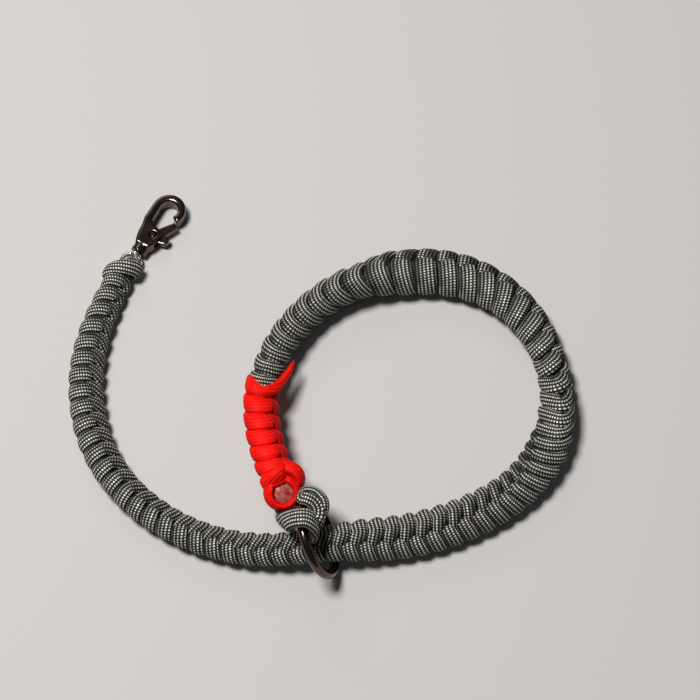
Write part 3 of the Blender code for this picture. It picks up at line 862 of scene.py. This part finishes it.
def sliding_ring(finish):
    centre, axis, across, up, radius = ring_frame()
    bm = bmesh.new()
    upright = Matrix.Rotation(math.pi / 2, 4, "X")
    wire = bmesh.ops.create_circle(bm, segments=24, radius=RING_WIRE / 2, matrix=upright)["verts"]
    bmesh.ops.translate(bm, verts=wire, vec=(radius, 0, 0))
    bmesh.ops.spin(
        bm, geom=bm.edges[:], axis=(0, 0, 1), cent=(0, 0, 0), angle=2 * math.pi, steps=96, use_merge=True
    )
    turn = Matrix((across, up, axis)).transposed().to_4x4()
    bmesh.ops.transform(bm, verts=bm.verts[:], matrix=Matrix.Translation(centre) @ turn)
    bmesh.ops.recalc_face_normals(bm, faces=bm.faces[:])
    piece_from(bm, "ring", finish, "strap", ["slider_ring"])


def tie_cord(finish):
    """The cord round the ring's wire, lying flat on it, and its second wrap."""
    centre, axis, across, up, radius = ring_frame()
    axes = np.array((axis, across, up))
    path = centre + smooth_route(TIE_ROUTE, TIE_STEPS) @ axes * radius
    local = path - centre
    in_plane = local - np.outer(local @ axis, axis)
    wire = centre + unit(in_plane) * radius
    along = np.linspace(0, 1, len(path))
    wide = TIE_HALF_WIDTH * (1 - TIE_NARROWING * ease((along - TIE_NARROW_START) / TIE_NARROW_SPAN))
    bm = bmesh.new()
    lay_cord(bm, path, unit(path - wire), wide, depth_for(TIE_AREA, wide), sides=TIE_SIDES)
    path = centre + smooth_route(WRAP_ROUTE, WRAP_STEPS) @ axes * radius
    lay_cord(bm, path, WRAP_FACE @ axes, *WRAP_HALVES, sides=WRAP_SIDES)
    finish_cords(bm, "tie_cord", finish, ["anchor_loop"])


def first_knot(finish):
    """A turn of cord round the strap's start, which grips the eye's bar and slants across it."""
    at, forward, left, _ = stations(0.0)
    ahead = unit(np.array([forward[0][0], forward[0][1], 0]))
    middle = np.array([at[0][0], at[0][1], KNOT_SPINE / 2]) + ahead * FIRST_KNOT_SHIFT
    angle = np.linspace(0, 2 * np.pi, 49)[:, None]
    inset = CORD_DEPTH / 2
    side = left[0] * np.cos(angle) * (KNOT_SIDE / 2 - inset)
    high = UP * np.sin(angle) * (KNOT_SPINE / 2 - inset)
    along = ahead * FIRST_KNOT_SLANT * np.cos(angle)
    bm = bmesh.new()
    lay_cord(bm, middle + side + high + along, unit(side + high), FIRST_KNOT_HALF_WIDTH, inset)
    finish_cords(bm, "first_knot", finish, ["start_knot"])


def tip_frame():
    """Middle of the red tip's face, and the ways across, ahead and up from it."""
    at, forward, left, _ = stations(1.0)
    level = unit(np.array([forward[0][0], forward[0][1], 0]))
    facing = UP * math.cos(CURL_TILT) + level * math.sin(CURL_TILT)
    centre = at[0] + forward[0] * (CURL_RADIUS + CURL_CORD / 2 + CLEARANCE)
    ahead = unit(level - facing * (level @ facing))
    return centre, np.array((left[0], ahead, facing))


def tip_bar(bm, centre, axes, route, inside, up, halves):
    """A short bar beside the tip's last turn, which faces away from a point inside and upwards."""
    path = centre + smooth_route(route, BAR_STEPS) @ axes * RIM_RADIUS
    outward = unit(path - centre - inside @ axes * RIM_RADIUS)
    lay_cord(bm, path, unit(outward + axes[2] * up), *halves)


def tip_curl(finish):
    """The red cord's last turn: out of the knots, round the melted end and back in, with two bars by it."""
    middle, axes = tip_frame()
    across, ahead, facing = axes
    centre = middle + RIM_SHIFT @ axes
    angle = np.radians(np.linspace(-RIM_SWEEP, RIM_SWEEP, 41))[:, None]
    rim = centre + (ahead * np.cos(angle) + across * np.sin(angle)) * RIM_RADIUS
    lead = np.linspace(1, 0, 9)[:-1, None]
    inward = across * RIM_END[0]
    back = ahead * RIM_END[1] + facing * RIM_END[2]
    first = rim[0] + lead * (back + inward)
    last = rim[-1] + lead * (back - inward)
    path = np.concatenate([first, rim, last[::-1]])
    outward = unit(path - centre)
    outward = unit(outward - np.outer(outward @ facing, facing) + facing * RIM_UP)
    bm = bmesh.new()
    lay_cord(bm, path, outward, *RIM_HALVES)
    tip_bar(bm, centre, axes, LAST_BAR, LAST_BAR_INSIDE, 0, LAST_BAR_HALVES)
    tip_bar(bm, centre, axes, KNUCKLE, KNUCKLE_INSIDE, KNUCKLE_UP, KNUCKLE_HALVES)
    finish_cords(bm, "red_tip_curl", finish, ["red_end_curl"])


def melted_tip(finish):
    """The uneven end of the melted cord, which fills the curl."""
    centre, axes = tip_frame()
    across, ahead, facing = axes
    bm = bmesh.new()
    bmesh.ops.create_uvsphere(bm, u_segments=40, v_segments=24, radius=1)
    for vert in bm.verts:
        x, y, z = vert.co
        wave = 1 + 0.05 * math.sin(5 * x + 3 * y) * math.cos(4 * y - 2 * z)
        pit = 0.10 * math.sin(9 * x - 2) * math.sin(8 * y + 1)
        vert.co = Vector((x * MELT_HALVES[0], y * MELT_HALVES[1], (z + pit) * MELT_HALVES[2])) * wave
    turn = Matrix((across, -ahead, facing)).transposed().to_4x4()
    shift = Matrix.Translation(centre + MELT_SHIFT @ axes)
    bmesh.ops.transform(bm, verts=bm.verts[:], matrix=shift @ turn)
    bmesh.ops.recalc_face_normals(bm, faces=bm.faces[:])
    piece_from(bm, "melted_tip", finish, "strap", ["melted_end"])


def cast_copy(solid, name, finish, body, voxel, passes):
    """A solid's own shape with the soft edges of a polished casting."""
    bm = bmesh.new()
    bm.from_mesh(frame["nodes"][solid].data)
    bmesh.ops.remove_doubles(bm, verts=bm.verts[:], dist=1e-6)
    obj = piece_from(bm, name, finish, body, [solid])
    remesh = obj.modifiers.new("voxels", "REMESH")
    remesh.mode = "VOXEL"
    remesh.voxel_size = voxel
    remesh.use_smooth_shade = True
    polish = obj.modifiers.new("polish", "SMOOTH")
    polish.factor = 0.5
    polish.iterations = passes


# Surroundings


def floor():
    bm = bmesh.new()
    bmesh.ops.create_grid(bm, x_segments=1, y_segments=1, size=1.5)
    mesh = bpy.data.meshes.new("floor")
    bm.to_mesh(mesh)
    bm.free()
    made, _, shader = new_finish("floor")
    shader.inputs["Base Color"].default_value = (0.42, 0.41, 0.40, 1)
    shader.inputs["Roughness"].default_value = 0.9
    mesh.materials.append(made)
    put("floor", mesh)


def aimed(name, data, place, target):
    """A lamp or a camera at a place, turned towards a target."""
    obj = put(name, data)
    obj.location = place
    obj.rotation_mode = "QUATERNION"
    obj.rotation_quaternion = (Vector(target) - Vector(place)).to_track_quat("-Z", "Y")
    return obj


def soft_light(name, place, size, power):
    lamp = bpy.data.lights.new(name, "AREA")
    lamp.shape = "DISK"
    lamp.size = size
    lamp.energy = power
    lamp.color = (1.0, 0.985, 0.965)
    aimed(name, lamp, place, (0, 0, 0))


def studio():
    """A dim, even sky with a large soft key light and a weak one from behind."""
    world = bpy.data.worlds.new("studio")
    world.use_nodes = True
    sky = world.node_tree.nodes["Background"]
    sky.inputs["Color"].default_value = (0.92, 0.94, 1.0, 1)
    sky.inputs["Strength"].default_value = 0.09
    bpy.context.scene.world = world
    soft_light("key", (-0.33, -0.14, 1.11), 0.34, 19.5)
    soft_light("rim", (-0.75, 0.55, 0.75), 0.5, 1.6)


def camera():
    """The photograph's own view: its ground plane is turned and shifted to the strap's place."""
    turn = np.array([[math.cos(VIEW_TURN), -math.sin(VIEW_TURN)], [math.sin(VIEW_TURN), math.cos(VIEW_TURN)]])
    back = turn @ np.array([0, -VIEW_DISTANCE * math.cos(VIEW_ELEVATION)])
    target = CENTRELINE[0][:2] + turn @ np.array(VIEW_TARGET)
    lens = bpy.data.cameras.new("camera")
    lens.sensor_width = SENSOR_WIDTH
    lens.lens = SENSOR_WIDTH * FOCAL_PIXELS / FRAME_PIXELS
    lens.clip_start = 0.02
    place = (*(target + back), VIEW_DISTANCE * math.sin(VIEW_ELEVATION))
    bpy.context.scene.camera = aimed("camera", lens, place, (*target, 0))


bpy.context.scene.view_settings.view_transform = "Standard"
camera()
studio()
floor()
braid = braid_group()
# The core finishes are dark copies of the cord finishes that paint the shade between the cords
grey, red, grey_painted_shade_finish, red_painted_shade_finish = (cord_finish(name, braid, *look) for name, look in CORD_LOOKS.items())
gunmetal = metal_finish("gunmetal", (0.11, 0.078, 0.060), 0.15, 260)
bright = metal_finish("bright_wire", (0.78, 0.76, 0.72), 0.14, 400)
melted = melt_finish("melted_cord")

strap_cords(grey, grey_painted_shade_finish)
red_cords(red, red_painted_shade_finish)
tie_cord(grey)
first_knot(grey)
tip_curl(red)
melted_tip(melted)
sliding_ring(gunmetal)
cast_copy("clasp_hook", "hook", gunmetal, "hook", 0.14 * MM, 24)
cast_copy("clasp_lever", "lever", gunmetal, "lever", 0.11 * MM, 14)
cast_copy("lever_pin", "pin", gunmetal, "hook", 0.10 * MM, 2)
cast_copy("swivel_eye", "eye", bright, "strap", 0.11 * MM, 4)
